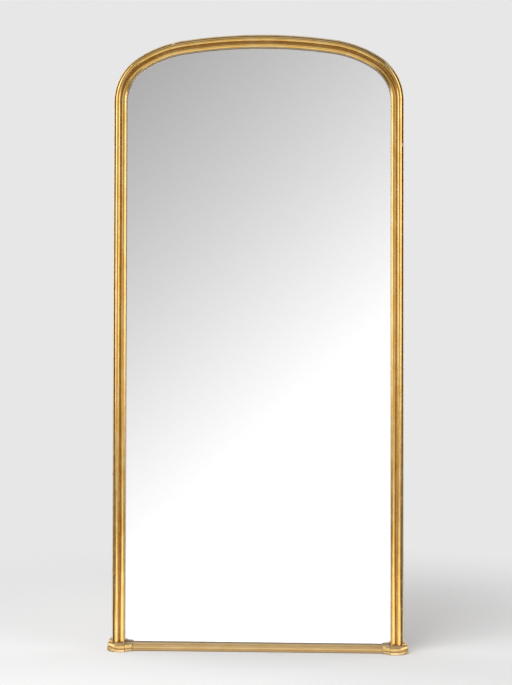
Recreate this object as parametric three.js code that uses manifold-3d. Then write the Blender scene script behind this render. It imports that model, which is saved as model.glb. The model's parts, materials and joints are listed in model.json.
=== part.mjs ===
// An arched giltwood pier mirror, put together as a frame maker builds one. A softwood carcass
// carries a reeded giltwood moulding, moulded plinth blocks stand at the feet of the stiles, and a
// panelled back closes the plate in. Millimetres, +Z up, the front faces -Y, and the origin is at
// floor level in the middle of the footprint.
import * as THREE from "three";
import { mergeVertices } from "three/addons/utils/BufferGeometryUtils.js";
import Module from "manifold-3d";

const wasm = await Module();
wasm.setup();

// Overall form: the outer faces of the frame
const OVERALL_HEIGHT = 2180; // floor to the crown of the arch
const FRAME_WIDTH = 1029; // across the outer faces of the stiles
const SHOULDER_RADIUS = 186; // five-centred arch, outermost arcs
const SHOULDER_ANGLE = 57; // degrees that a shoulder arc turns through
const HAUNCH_RADIUS = 405; // the next arcs in
const HAUNCH_ANGLE = 24.5; // degrees that a haunch arc turns through
const CHORD_ERROR = 0.12; // how far a facet of the arch may fall inside its arc
const JOINT = 0.3; // glue line, and any other close gap between two pieces
const SAME = 1e-3; // angles and vertices closer than this are one

// Reeded moulding, from the sight edge outwards, with heights above its flat back
const INNER_REED_WIDTH = 19.5;
const FINE_QUIRK_WIDTH = 1.5;
const MAIN_REED_WIDTH = 15.5;
const DEEP_QUIRK_WIDTH = 3.5;
const BEAD_WIDTH = 5.5;
const SIGHT_LIP = 10; // square edge that stands on the plate
const INNER_REED_SHOULDER = 10; // where the inner reed meets the fine quirk
const INNER_REED_CROWN = 8.5; // how far a reed bulges from its own chord
const FINE_QUIRK_FLOOR = 8.5;
const MAIN_REED_BASE = 14.5;
const MAIN_REED_CROWN = 11;
const DEEP_QUIRK_FLOOR = 8.5;
const BEAD_BASE = 9.5;
const QUIRK_DRAFT = 0.6; // how far the deep quirk's walls lean in
const INNER_REED_FACETS = 10;
const MAIN_REED_FACETS = 12;
const BEAD_FACETS = 6;

// Base rail moulding, from the bottom up, with heights above its flat back
const RAIL_FOOT = 1; // the rail and the carcass hang clear of the floor
const RAIL_FILLET_HEIGHT = 6;
const RAIL_TORUS_HEIGHT = 14;
const RAIL_QUIRK_HEIGHT = 1;
const RAIL_TOP_HEIGHT = 5;
const RAIL_FILLET_REACH = 23;
const RAIL_TORUS_FOOT = 21;
const RAIL_TORUS_SHOULDER = 18;
const RAIL_TORUS_CROWN = 2.6;
const RAIL_QUIRK_FLOOR = 13;
const RAIL_TOP_REACH = 14;
const RAIL_TOP_CROWN = 1;
const RAIL_ARRIS = 1.2; // worn corner of the bottom fillet
const RAIL_TORUS_FACETS = 10;
const SMALL_CURVE_FACETS = 4; // coves and other curves a few millimetres across

// Softwood carcass behind the moulding
const CARCASS_DEPTH = 24; // wall plane to the back of the moulding
const CARCASS_REBATE = 12; // sight edge to the carcass, which leaves room for the plate
const BACK_LEDGE = 10; // step that the back is screwed to
const TENON_LENGTH = 22;
const TENON_SHOULDER = 2.5; // what a tenon is smaller by on each side
const CARCASS_SPLICE = 60; // degrees round the arch, staggered against the moulding's joints

// Joints of the moulding, in degrees round the arch
const SHOULDER_JOINT = 45;
const HAUNCH_JOINT = 74.5;

// Plate glass, silvered behind
const GLASS_THICKNESS = 6;
const GLASS_COVER = 8; // how far the moulding laps over the plate
const SILVER_THICKNESS = 0.4;
const SETTING_SLIP_LENGTH = 80;
const SETTING_SLIP_PLACE = 250; // from the middle
const GLUE_BLOCK_LENGTH = 70;
const GLUE_BLOCK_WIDTH = 10;
const GLUE_BLOCKS = 3; // on each side
const GLUE_BLOCK_MARGIN = 300; // sight foot to the first one, and last one to the spring of the arch

// Plinth blocks at the feet of the stiles
const PLINTH_PROJECTION = 17.5; // beyond the outer face of the stile
const PLINTH_DEPTH = 72; // wall plane to the front of the block
const PLINTH_OVERHANG = 3.5; // past the sight edge, on the inner side
const PLINTH_CORNER = 45; // round outer corner, in plan
const PLINTH_BAND_HEIGHT = 9;
const PLINTH_COVE_HEIGHT = 2.5;
const PLINTH_RING_HEIGHT = 16.5;
const PLINTH_ARRIS = 1.5;
const PLINTH_COVE_STEP = 4; // how far the cove draws in
const PLINTH_COVE_HOLLOW = 0.5;
const PLINTH_RING_STEP = 7.5;
const PLINTH_RING_CROWN = 4.5;
const CAP_HEIGHT = 8;
const CAP_PROJECTION = 10.5; // beyond the outer face of the stile
const CAP_DEPTH = 50;
const CAP_FLAT = 0.5; // straight run of its front before the round corner begins
const CAP_LIP = 1; // how far its foot draws in
const CAP_STEP = 3; // how far its top draws in
const CAP_CROWN = 2.6;
const RING_FACETS = 8; // up the ring and up the cap
const PLINTH_CORNER_FACETS = 14;
const CAP_CORNER_FACETS = 10;
const RETURN_LENGTH = 24; // inner block between the plinth and the base rail
const RETURN_DEPTH_OUTER = 62; // at the plinth
const RETURN_DEPTH_INNER = 53; // at the rail
const RETURN_GROOVE_HEIGHT = 9.5;
const RETURN_GROOVE_DEPTH = 2;
const RETURN_TOP_STEP = 3;
const RETURN_TOP_CROWN = 1;

// Panelled softwood back
const BACK_THICKNESS = 12;
const BACK_CLEARANCE = 0.5;
const BACK_MEMBER_WIDTH = 90;
const PANEL_ROWS = 3;
const TOP_RAIL_DROP = 113; // spring of the arch to the underside of the arched top rail
const PANEL_THICKNESS = 6;
const PANEL_TONGUE = 8; // how deep a panel sits in its grooves
const BACK_TENON_LENGTH = 30;
const BACK_TENON_SHOULDER = 18;
const BACK_SCREWS = 3; // up each stile of the back
const BACK_SCREW_MARGIN = 150; // foot of the back to the first one, and last one to the spring
const BACK_SCREW_ANGLE = 76; // degrees round the arch

// Iron hanging plates and slotted screws
const PLATE_WIDTH = 18;
const PLATE_LENGTH = 70;
const PLATE_THICKNESS = 2.5;
const PLATE_DROP = 243; // spring of the arch to the centre of a plate
const KEYHOLE_RADIUS = 5.5;
const KEYHOLE_SLOT = 6;
const KEYHOLE_TRAVEL = 13; // head hole to the rounded end of the slot
const KEYHOLE_POCKET_WIDTH = 13;
const KEYHOLE_POCKET_DEPTH = 9;
const KEYHOLE_CURVE_FACETS = 7;
const POCKET_CLEARANCE = 1; // above and below the keyhole
const PLATE_SCREW_INSET = 9; // from the ends of the plate
const SCREW_HEAD_RADIUS = 3.4;
const SCREW_SHANK_RADIUS = 1.7;
const SCREW_HEAD_DEPTH = 2;
const SCREW_POINT = 4;
const BACK_SCREW_LENGTH = 20;
const PLATE_SCREW_LENGTH = 16;
const SCREW_SIDES = 12;

const FINISHES = {
  gilt: { color: 0xd8ad5c, roughness: 0.34, metalness: 0.95 },
  deal: { color: 0xc19a67, roughness: 0.78, metalness: 0 },
  glass: { color: 0xe9f1ee, roughness: 0.03, metalness: 0 },
  silver: { color: 0xd7dadb, roughness: 0.12, metalness: 1 },
  iron: { color: 0x4a4542, roughness: 0.6, metalness: 0.85 },
  steel: { color: 0x8d8a84, roughness: 0.45, metalness: 0.9 },
};

// Sizes that follow from those above
const WALL_Y = PLINTH_DEPTH / 2;
const STILE_FACE = FRAME_WIDTH / 2;
const MOULDING_WIDTH =
  INNER_REED_WIDTH + FINE_QUIRK_WIDTH + MAIN_REED_WIDTH + DEEP_QUIRK_WIDTH + BEAD_WIDTH;
const RAIL_HEIGHT = RAIL_FILLET_HEIGHT + RAIL_TORUS_HEIGHT + RAIL_QUIRK_HEIGHT + RAIL_TOP_HEIGHT;
const SIGHT_HALF = STILE_FACE - MOULDING_WIDTH;
const SIGHT_FOOT = RAIL_FOOT + RAIL_HEIGHT;
const CARCASS_INNER = SIGHT_HALF + CARCASS_REBATE;
const CARCASS_RAIL_TOP = SIGHT_FOOT - CARCASS_REBATE;
const GLASS_BACK = CARCASS_DEPTH - GLASS_THICKNESS;
const PLINTH_COVE_TOP = PLINTH_BAND_HEIGHT + PLINTH_COVE_HEIGHT;
const PLINTH_TOP = PLINTH_COVE_TOP + PLINTH_RING_HEIGHT;
const PLINTH_INNER = SIGHT_HALF - PLINTH_OVERHANG;
const RETURN_INNER = PLINTH_INNER - RETURN_LENGTH;
const BACK_FOOT = CARCASS_RAIL_TOP + BACK_CLEARANCE;
const BACK_HALF = CARCASS_INNER + BACK_LEDGE - BACK_CLEARANCE;
const BACK_STILE_INNER = BACK_HALF - BACK_MEMBER_WIDTH;
const PLATE_X = STILE_FACE - (MOULDING_WIDTH - CARCASS_REBATE - BACK_LEDGE) / 2;

// The five-centred arch: each arc's centre, radius and the angle at which it ends
const radians = THREE.MathUtils.degToRad;
const shoulderEnd = radians(SHOULDER_ANGLE);
const haunchEnd = shoulderEnd + radians(HAUNCH_ANGLE);
const shoulderX = STILE_FACE - SHOULDER_RADIUS;
const haunchX = shoulderX - (HAUNCH_RADIUS - SHOULDER_RADIUS) * Math.cos(shoulderEnd);
const haunchZ = (SHOULDER_RADIUS - HAUNCH_RADIUS) * Math.sin(shoulderEnd);
const crownRadius = HAUNCH_RADIUS + haunchX / Math.cos(haunchEnd);
const crownZ = haunchZ - (crownRadius - HAUNCH_RADIUS) * Math.sin(haunchEnd);
const SPRING_HEIGHT = OVERALL_HEIGHT - crownRadius - crownZ;
const TOP_RAIL_FOOT = SPRING_HEIGHT - TOP_RAIL_DROP;
const PLATE_HEIGHT = SPRING_HEIGHT - PLATE_DROP;
const ARCS = [
  { x: shoulderX, z: 0, radius: SHOULDER_RADIUS, start: 0, end: shoulderEnd },
  { x: haunchX, z: haunchZ, radius: HAUNCH_RADIUS, start: shoulderEnd, end: haunchEnd },
  { x: 0, z: crownZ, radius: crownRadius, start: haunchEnd, end: Math.PI / 2 },
];

// Heights spread evenly from one margin above the foot to the same margin below the spring
function spreadHeights(foot, margin, count) {
  const rise = SPRING_HEIGHT - foot - 2 * margin;
  return Array.from({ length: count }, (_, k) => foot + margin + (rise * k) / (count - 1));
}

// A point of the frame's outline: angle runs from the right spring (0) over the crown to the left
// spring (pi), inset is measured in from the outer face, and along slides the point on its tangent.
function framePoint(angle, inset, along = 0) {
  const onLeft = angle > Math.PI / 2;
  const turn = onLeft ? Math.PI - angle : angle;
  const arc = ARCS.find(({ end }) => turn <= end) ?? ARCS[2];
  const x = arc.x + (arc.radius - inset) * Math.cos(turn);
  const z = SPRING_HEIGHT + arc.z + (arc.radius - inset) * Math.sin(turn);
  return { x: (onLeft ? -x : x) - along * Math.sin(angle), z: z + along * Math.cos(angle) };
}

// The angles at which the arch has a facet edge, so that each facet keeps to CHORD_ERROR
const rightAngles = ARCS.flatMap(({ radius, start, end }) => {
  const steps = Math.ceil((end - start) / (2 * Math.acos(1 - CHORD_ERROR / radius)));
  return Array.from({ length: steps }, (_, k) => start + ((end - start) * k) / steps);
});
const ARCH_ANGLES = [
  ...rightAngles,
  Math.PI / 2,
  ...rightAngles.map((angle) => Math.PI - angle).reverse(),
];

// Points on a circular arc over the chord from one point to the next, proud of it by rise
function arc([a1, b1], [a2, b2], rise, steps) {
  const half = Math.hypot(a2 - a1, b2 - b1) / 2;
  const along = [(a2 - a1) / (2 * half), (b2 - b1) / (2 * half)];
  const out = [-along[1] * Math.sign(rise), along[0] * Math.sign(rise)];
  const height = Math.abs(rise);
  const radius = (half * half + height * height) / (2 * height);
  const sweepHalf = Math.acos((radius - height) / radius);
  return Array.from({ length: steps + 1 }, (_, k) => {
    const angle = sweepHalf * ((2 * k) / steps - 1);
    const across = radius * Math.sin(angle);
    const up = radius * Math.cos(angle) + height - radius;
    return [0, 1].map((i) => ([a1 + a2, b1 + b2][i] / 2 + along[i] * across + out[i] * up));
  });
}

// A closed skin through outlines of equally many points, each put in place by its own number.
// The outlines' plane and the way from first to last are right-handed, so faces point outwards.
function loft(outlines, place) {
  const clockwise = THREE.ShapeUtils.isClockWise(outlines[0]);
  const rings = outlines.map((points) => (clockwise ? [...points].reverse() : points));
  const count = rings[0].length;
  const last = (rings.length - 1) * count;
  const index = [];
  for (let start = 0; start < last; start += count) {
    for (let j = 0; j < count; j++) {
      const a = start + j;
      const b = start + ((j + 1) % count);
      index.push(a, b, b + count, a, b + count, a + count);
    }
  }
  const firstCap = THREE.ShapeUtils.triangulateShape(rings[0], []);
  const lastCap = THREE.ShapeUtils.triangulateShape(rings[rings.length - 1], []);
  firstCap.forEach(([a, b, c]) => index.push(c, b, a));
  lastCap.forEach(([a, b, c]) => index.push(last + a, last + b, last + c));
  const points = rings.flatMap((ring, k) => ring.map((p) => place(k, p)));
  return new THREE.BufferGeometry().setFromPoints(points).setIndex(index);
}

// A bar with one section, given as [height, depth] points, that runs across the frame
function crossBar(section, left, right) {
  const outline = section.map(([z, depth]) => new THREE.Vector2(WALL_Y - depth, z));
  return loft([outline, outline], (k, p) => new THREE.Vector3(k ? right : left, p.x, p.y));
}

// A board cut to a shape in the plane of the mirror, between two depths from the wall
function board(shape, back, front) {
  const geometry = new THREE.ExtrudeGeometry(shape, { depth: front - back, bevelEnabled: false });
  return geometry.rotateX(Math.PI / 2).translate(0, WALL_Y - back, 0);
}

function box(left, right, foot, top, back, front) {
  const geometry = new THREE.BoxGeometry(right - left, front - back, top - foot);
  return geometry.translate((left + right) / 2, WALL_Y - (back + front) / 2, (foot + top) / 2);
}

// Booleans
function solidOf(geometry) {
  const bare = new THREE.BufferGeometry();
  bare.setAttribute("position", geometry.getAttribute("position"));
  bare.setIndex(geometry.index);
  const merged = mergeVertices(bare, SAME);
  const vertProperties = new Float32Array(merged.getAttribute("position").array);
  const triVerts = new Uint32Array(merged.index.array);
  return new wasm.Manifold(new wasm.Mesh({ numProp: 3, vertProperties, triVerts }));
}

function geometryOf(solid) {
  const { vertProperties, triVerts } = solid.getMesh();
  const geometry = new THREE.BufferGeometry();
  geometry.setAttribute("position", new THREE.BufferAttribute(new Float32Array(vertProperties), 3));
  return geometry.setIndex(new THREE.BufferAttribute(new Uint32Array(triVerts), 1));
}

function cut(geometry, tools) {
  return geometryOf(tools.reduce((left, tool) => left.subtract(solidOf(tool)), solidOf(geometry)));
}

function join(geometry, others) {
  return geometryOf(others.reduce((sum, other) => sum.add(solidOf(other)), solidOf(geometry)));
}

function common(geometry, other) {
  return geometryOf(solidOf(geometry).intersect(solidOf(other)));
}

const mirror = new THREE.Group();

function addPiece(name, finish, geometry) {
  const mesh = new THREE.Mesh(geometry, new THREE.MeshStandardMaterial(FINISHES[finish]));
  geometry.computeVertexNormals();
  mesh.name = name;
  mirror.add(mesh);
}

const SIDES = [
  { side: "right", sign: 1 },
  { side: "left", sign: -1 },
];

// Sweeps a section, given as [distance from the sight edge, depth] points, along the frame
function frameMember(section, path) {
  const outline = section.map(([u, depth]) => new THREE.Vector2(u, -depth));
  return loft(path.map(() => outline), (k, p) => {
    const { x, z } = framePoint(path[k].angle, MOULDING_WIDTH - p.x, path[k].along);
    return new THREE.Vector3(x, WALL_Y + p.y, z);
  });
}

// A curved member between two joints, given in degrees round the arch
function archMember(section, from, to) {
  const [first, last] = [radians(from), radians(to)];
  const between = ARCH_ANGLES.filter((angle) => angle > first + SAME && angle < last - SAME);
  return frameMember(section, [
    { angle: first, along: JOINT / 2 },
    ...between.map((angle) => ({ angle, along: 0 })),
    { angle: last, along: -JOINT / 2 },
  ]);
}

// An upright member from a foot height to the spring of the arch
function uprightMember(section, sign, foot) {
  const length = SPRING_HEIGHT - foot;
  const ends = sign > 0 ? [-length, -JOINT / 2] : [JOINT / 2, length];
  return frameMember(section, ends.map((along) => ({ angle: sign > 0 ? 0 : Math.PI, along })));
}

// Screws: driven from the wall side, with a countersunk head flush with the surface at depth 0
function screw(x, z, length, growth = 0) {
  const profile = [
    [0, SCREW_HEAD_RADIUS],
    [SCREW_HEAD_DEPTH, SCREW_SHANK_RADIUS],
    [length - SCREW_POINT, SCREW_SHANK_RADIUS],
    [length + growth, SCREW_SHANK_RADIUS / 4],
  ].map(([depth, radius]) => [depth, radius + growth]);
  const outlines = profile.map(([, radius]) =>
    Array.from({ length: SCREW_SIDES }, (_, k) => {
      const angle = (2 * Math.PI * k) / SCREW_SIDES;
      return new THREE.Vector2(x + radius * Math.cos(angle), z + radius * Math.sin(angle));
    }),
  );
  return loft(outlines, (k, p) => new THREE.Vector3(p.x, WALL_Y - profile[k][0], p.y));
}

const backScrewPlaces = SIDES.flatMap(({ side, sign }) => {
  const onLedge = MOULDING_WIDTH - CARCASS_REBATE - BACK_LEDGE / 2;
  const heights = spreadHeights(BACK_FOOT, BACK_SCREW_MARGIN, BACK_SCREWS);
  const uprights = heights.map((z) => ({ x: sign * (STILE_FACE - onLedge), z }));
  const { x, z } = framePoint(radians(BACK_SCREW_ANGLE), onLedge);
  const places = [...uprights, { x: sign * x, z }];
  return places.map((spot, k) => ({ ...spot, name: `back_screw_${side}_${k + 1}` }));
});
const backScrewHoles = backScrewPlaces.map(({ x, z }) => screw(x, z, BACK_SCREW_LENGTH, JOINT));

// Hanging plates with a keyhole, let in flush with the backs of the stiles
function keyholeOutline(growth) {
  const round = KEYHOLE_RADIUS + growth;
  const slot = KEYHOLE_SLOT / 2 + growth;
  const low = -KEYHOLE_TRAVEL / 2;
  const high = KEYHOLE_TRAVEL / 2;
  const meet = Math.acos(slot / round);
  const path = new THREE.Path();
  path.absarc(0, low, round, Math.PI - meet, meet, false);
  path.lineTo(slot, high);
  path.absarc(0, high, slot, 0, Math.PI, false);
  path.closePath();
  return path;
}

function hangingPlate() {
  const shape = new THREE.Shape();
  const [x, z] = [PLATE_WIDTH / 2, PLATE_LENGTH / 2];
  shape.moveTo(-x, -z).lineTo(x, -z).lineTo(x, z).lineTo(-x, z).closePath();
  shape.holes.push(keyholeOutline(0));
  return new THREE.ExtrudeGeometry(shape, {
    depth: PLATE_THICKNESS,
    bevelEnabled: false,
    curveSegments: KEYHOLE_CURVE_FACETS,
  });
}

const plateScrewPlaces = SIDES.flatMap(({ side, sign }) =>
  [-1, 1].map((end) => ({
    name: `plate_screw_${side}_${end < 0 ? "lower" : "upper"}`,
    x: sign * PLATE_X,
    z: PLATE_HEIGHT + end * (PLATE_LENGTH / 2 - PLATE_SCREW_INSET),
  })),
);
const plateScrewHoles = plateScrewPlaces.map(({ x, z }) => screw(x, z, PLATE_SCREW_LENGTH, JOINT));

function plateRecess(sign) {
  const x = sign * PLATE_X;
  const bed = PLATE_THICKNESS + JOINT;
  const hole = (width, length, back, front) =>
    box(x - width / 2, x + width / 2, PLATE_HEIGHT - length / 2, PLATE_HEIGHT + length / 2, back, front);
  const pocketLength = KEYHOLE_TRAVEL + 2 * (KEYHOLE_RADIUS + POCKET_CLEARANCE);
  return [
    hole(PLATE_WIDTH + 2 * JOINT, PLATE_LENGTH + 2 * JOINT, -JOINT, bed),
    hole(KEYHOLE_POCKET_WIDTH, pocketLength, 0, bed + KEYHOLE_POCKET_DEPTH),
  ];
}

function addHardware() {
  for (const { side, sign } of SIDES) {
    const plate = hangingPlate().rotateX(Math.PI / 2);
    plate.translate(sign * PLATE_X, WALL_Y, PLATE_HEIGHT);
    addPiece(`hanging_plate_${side}`, "iron", cut(plate, plateScrewHoles));
  }
  for (const { name, x, z } of plateScrewPlaces) {
    addPiece(name, "steel", screw(x, z, PLATE_SCREW_LENGTH));
  }
  for (const { name, x, z } of backScrewPlaces) {
    addPiece(name, "steel", screw(x, z, BACK_SCREW_LENGTH));
  }
}

// Softwood carcass: rebated for the plate in front and stepped for the back
function addCarcass() {
  const ledge = CARCASS_REBATE + BACK_LEDGE;
  const section = [
    [CARCASS_REBATE, BACK_THICKNESS],
    [ledge, BACK_THICKNESS],
    [ledge, 0],
    [MOULDING_WIDTH, 0],
    [MOULDING_WIDTH, CARCASS_DEPTH],
    [CARCASS_REBATE, CARCASS_DEPTH],
  ];
  const [tenonBack, tenonFront] = [BACK_THICKNESS / 2, CARCASS_DEPTH - BACK_THICKNESS / 2];
  const tenonReach = CARCASS_INNER + TENON_LENGTH;
  const [tenonFoot, tenonTop] = [RAIL_FOOT + TENON_SHOULDER, CARCASS_RAIL_TOP - TENON_SHOULDER];
  const railEnd = CARCASS_INNER - JOINT;
  const bottomRail = box(-railEnd, railEnd, RAIL_FOOT, CARCASS_RAIL_TOP, 0, CARCASS_DEPTH);
  const tenon = box(-tenonReach, tenonReach, tenonFoot, tenonTop, tenonBack, tenonFront);
  addPiece("carcass_bottom_rail", "deal", join(bottomRail, [tenon]));

  const reach = tenonReach + JOINT;
  const mortise = box(
    -reach,
    reach,
    tenonFoot - JOINT,
    tenonTop + JOINT,
    tenonBack - JOINT,
    tenonFront + JOINT,
  );
  for (const { side, sign } of SIDES) {
    const stile = uprightMember(section, sign, RAIL_FOOT);
    const tools = [mortise, ...plateRecess(sign), ...plateScrewHoles, ...backScrewHoles];
    addPiece(`carcass_stile_${side}`, "deal", cut(stile, tools));
  }
  const arches = [
    ["carcass_shoulder_right", 0, CARCASS_SPLICE],
    ["carcass_crown", CARCASS_SPLICE, 180 - CARCASS_SPLICE],
    ["carcass_shoulder_left", 180 - CARCASS_SPLICE, 180],
  ];
  for (const [name, from, to] of arches) {
    addPiece(name, "deal", cut(archMember(section, from, to), backScrewHoles));
  }
}

// Reeded giltwood moulding, mitre-free: its lengths butt end to end round the arch
function mouldingSection() {
  const quirk = INNER_REED_WIDTH + FINE_QUIRK_WIDTH / 2;
  const mainReed = INNER_REED_WIDTH + FINE_QUIRK_WIDTH;
  const deepQuirk = mainReed + MAIN_REED_WIDTH;
  const bead = deepQuirk + DEEP_QUIRK_WIDTH;
  const sightEdge = [0, SIGHT_LIP];
  const innerTop = [INNER_REED_WIDTH, INNER_REED_SHOULDER];
  const profile = [
    [0, 0],
    ...arc(sightEdge, innerTop, INNER_REED_CROWN, INNER_REED_FACETS),
    [quirk, FINE_QUIRK_FLOOR],
    ...arc([mainReed, MAIN_REED_BASE], [deepQuirk, MAIN_REED_BASE], MAIN_REED_CROWN, MAIN_REED_FACETS),
    [deepQuirk + QUIRK_DRAFT, DEEP_QUIRK_FLOOR],
    [bead - QUIRK_DRAFT, DEEP_QUIRK_FLOOR],
    ...arc([bead, BEAD_BASE], [MOULDING_WIDTH, BEAD_BASE], BEAD_WIDTH / 2, BEAD_FACETS),
    [MOULDING_WIDTH, 0],
  ];
  return profile.map(([u, height]) => [u, CARCASS_DEPTH + height]);
}

function addMoulding() {
  const section = mouldingSection();
  for (const { side, sign } of SIDES) {
    addPiece(`moulding_stile_${side}`, "gilt", uprightMember(section, sign, PLINTH_TOP + JOINT));
  }
  const lengths = [
    ["moulding_shoulder_right", 0, SHOULDER_JOINT],
    ["moulding_haunch_right", SHOULDER_JOINT, HAUNCH_JOINT],
    ["moulding_crown", HAUNCH_JOINT, 180 - HAUNCH_JOINT],
    ["moulding_haunch_left", 180 - HAUNCH_JOINT, 180 - SHOULDER_JOINT],
    ["moulding_shoulder_left", 180 - SHOULDER_JOINT, 180],
  ];
  for (const [name, from, to] of lengths) {
    addPiece(name, "gilt", archMember(section, from, to));
  }

  const torusFoot = RAIL_FILLET_HEIGHT;
  const torusTop = torusFoot + RAIL_TORUS_HEIGHT;
  const topFoot = torusTop + RAIL_QUIRK_HEIGHT;
  const torusEnds = [
    [torusFoot, RAIL_TORUS_FOOT],
    [torusTop, RAIL_TORUS_SHOULDER],
  ];
  const topEnds = [
    [topFoot, RAIL_TOP_REACH],
    [RAIL_HEIGHT, SIGHT_LIP],
  ];
  const profile = [
    [0, 0],
    [0, RAIL_FILLET_REACH - RAIL_ARRIS],
    [RAIL_ARRIS, RAIL_FILLET_REACH],
    [torusFoot, RAIL_FILLET_REACH],
    ...arc(...torusEnds, RAIL_TORUS_CROWN, RAIL_TORUS_FACETS),
    [(torusTop + topFoot) / 2, RAIL_QUIRK_FLOOR],
    ...arc(...topEnds, RAIL_TOP_CROWN, SMALL_CURVE_FACETS),
    [RAIL_HEIGHT, 0],
  ];
  const rail = profile.map(([z, height]) => [RAIL_FOOT + z, CARCASS_DEPTH + height]);
  const end = RETURN_INNER - JOINT;
  addPiece("base_rail_moulding", "gilt", crossBar(rail, -end, end));
}

// Plinth pieces are stacks of outlines in plan, each drawn in from the widest one by its own step
function plinthPiece(levels, plan, sign) {
  const outlines = levels.map(([, step]) =>
    plan(step).map(([x, depth]) => new THREE.Vector2(sign * x, WALL_Y - depth)),
  );
  return loft(outlines, (k, p) => new THREE.Vector3(p.x, p.y, levels[k][0]));
}

// The round outer corner of a plinth piece, from its front to its outer side
function roundCorner(face, front, radius, step, sides) {
  return Array.from({ length: sides + 1 }, (_, k) => {
    const angle = (Math.PI / 2) * (1 - k / sides);
    const reach = radius + step;
    return [face - radius + reach * Math.cos(angle), front - radius + reach * Math.sin(angle)];
  });
}

function addPlinths() {
  const blockFace = STILE_FACE + PLINTH_PROJECTION;
  const blockPlan = (step) => [
    [PLINTH_INNER, PLINTH_DEPTH + step],
    ...roundCorner(blockFace, PLINTH_DEPTH, PLINTH_CORNER, step, PLINTH_CORNER_FACETS),
    [blockFace + step, 0],
    [STILE_FACE + JOINT, 0],
    [STILE_FACE + JOINT, CARCASS_DEPTH + JOINT],
    [PLINTH_INNER, CARCASS_DEPTH + JOINT],
  ];
  const coveTop = [PLINTH_COVE_TOP, -PLINTH_COVE_STEP];
  const ringFoot = [PLINTH_COVE_TOP + JOINT, -PLINTH_COVE_STEP];
  const ringTop = [PLINTH_TOP, -PLINTH_RING_STEP];
  const blockLevels = [
    [0, -PLINTH_ARRIS],
    [PLINTH_ARRIS, 0],
    ...arc([PLINTH_BAND_HEIGHT, 0], coveTop, -PLINTH_COVE_HOLLOW, SMALL_CURVE_FACETS),
    ...arc(ringFoot, ringTop, PLINTH_RING_CROWN, RING_FACETS),
  ];

  const beadFront = CARCASS_DEPTH + BEAD_BASE + BEAD_WIDTH / 2 + JOINT;
  const capInner = STILE_FACE - BEAD_WIDTH - DEEP_QUIRK_WIDTH / 2;
  const capFace = STILE_FACE + CAP_PROJECTION;
  const capCorner = capFace - capInner - CAP_FLAT;
  const capPlan = (step) => [
    [capInner, CAP_DEPTH + step],
    ...roundCorner(capFace, CAP_DEPTH, capCorner, step, CAP_CORNER_FACETS),
    [capFace + step, 0],
    [STILE_FACE + JOINT, 0],
    [STILE_FACE + JOINT, beadFront],
    [capInner, beadFront],
  ];
  const capFoot = PLINTH_TOP + JOINT;
  const capTop = capFoot + CAP_HEIGHT;
  const capLevels = arc([capFoot, -CAP_LIP], [capTop, -CAP_STEP], CAP_CROWN, RING_FACETS);

  const returnPlan = (step) => [
    [RETURN_INNER, RETURN_DEPTH_INNER + step],
    [PLINTH_INNER - JOINT, RETURN_DEPTH_OUTER + step],
    [PLINTH_INNER - JOINT, CARCASS_DEPTH + JOINT],
    [RETURN_INNER, CARCASS_DEPTH + JOINT],
  ];
  const returnShoulder = [SIGHT_FOOT - 2 * RETURN_TOP_STEP, 0];
  const returnTop = [SIGHT_FOOT, -RETURN_TOP_STEP];
  const returnLevels = [
    [0, -PLINTH_ARRIS],
    [PLINTH_ARRIS, 0],
    [RETURN_GROOVE_HEIGHT - RETURN_GROOVE_DEPTH / 2, 0],
    [RETURN_GROOVE_HEIGHT, -RETURN_GROOVE_DEPTH],
    [RETURN_GROOVE_HEIGHT + RETURN_GROOVE_DEPTH / 2, 0],
    ...arc(returnShoulder, returnTop, RETURN_TOP_CROWN, SMALL_CURVE_FACETS),
  ];

  for (const { side, sign } of SIDES) {
    addPiece(`plinth_block_${side}`, "gilt", plinthPiece(blockLevels, blockPlan, sign));
    addPiece(`plinth_cap_${side}`, "gilt", plinthPiece(capLevels, capPlan, sign));
    addPiece(`plinth_return_${side}`, "gilt", plinthPiece(returnLevels, returnPlan, sign));
  }
}

// An arched sheet that follows the frame at one distance from the sight edge
function archedShape(fromSight, foot) {
  const inset = MOULDING_WIDTH - fromSight;
  const arch = ARCH_ANGLES.map((angle) => framePoint(angle, inset));
  const outline = [{ x: STILE_FACE - inset, z: foot }, ...arch, { x: inset - STILE_FACE, z: foot }];
  return new THREE.Shape(outline.map(({ x, z }) => new THREE.Vector2(x, z)));
}

// The plate, its silvering, the slips it stands on and the blocks glued in behind its edges
function addPlate() {
  const foot = SIGHT_FOOT - GLASS_COVER;
  const shape = archedShape(GLASS_COVER, foot);
  const silverBack = GLASS_BACK - SILVER_THICKNESS;
  addPiece("glass_plate", "glass", board(shape, GLASS_BACK, CARCASS_DEPTH));
  addPiece("silvering", "silver", board(shape, silverBack, GLASS_BACK));
  for (const { side, sign } of SIDES) {
    const [x, half] = [sign * SETTING_SLIP_PLACE, SETTING_SLIP_LENGTH / 2];
    const slip = box(x - half, x + half, CARCASS_RAIL_TOP, foot, GLASS_BACK, CARCASS_DEPTH - JOINT);
    addPiece(`setting_slip_${side}`, "deal", slip);

    const glued = sign * (CARCASS_INNER - JOINT);
    const triangle = [
      [glued, silverBack - JOINT],
      [glued, BACK_THICKNESS + JOINT],
      [glued - sign * GLUE_BLOCK_WIDTH, silverBack - JOINT],
    ].map(([at, depth]) => new THREE.Vector2(at, WALL_Y - depth));
    spreadHeights(SIGHT_FOOT, GLUE_BLOCK_MARGIN, GLUE_BLOCKS).forEach((z, k) => {
      const low = z - GLUE_BLOCK_LENGTH / 2;
      const block = loft([triangle, triangle], (end, p) =>
        new THREE.Vector3(p.x, p.y, low + end * GLUE_BLOCK_LENGTH),
      );
      addPiece(`glue_block_${side}_${k + 1}`, "deal", block);
    });
  }
}

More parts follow.
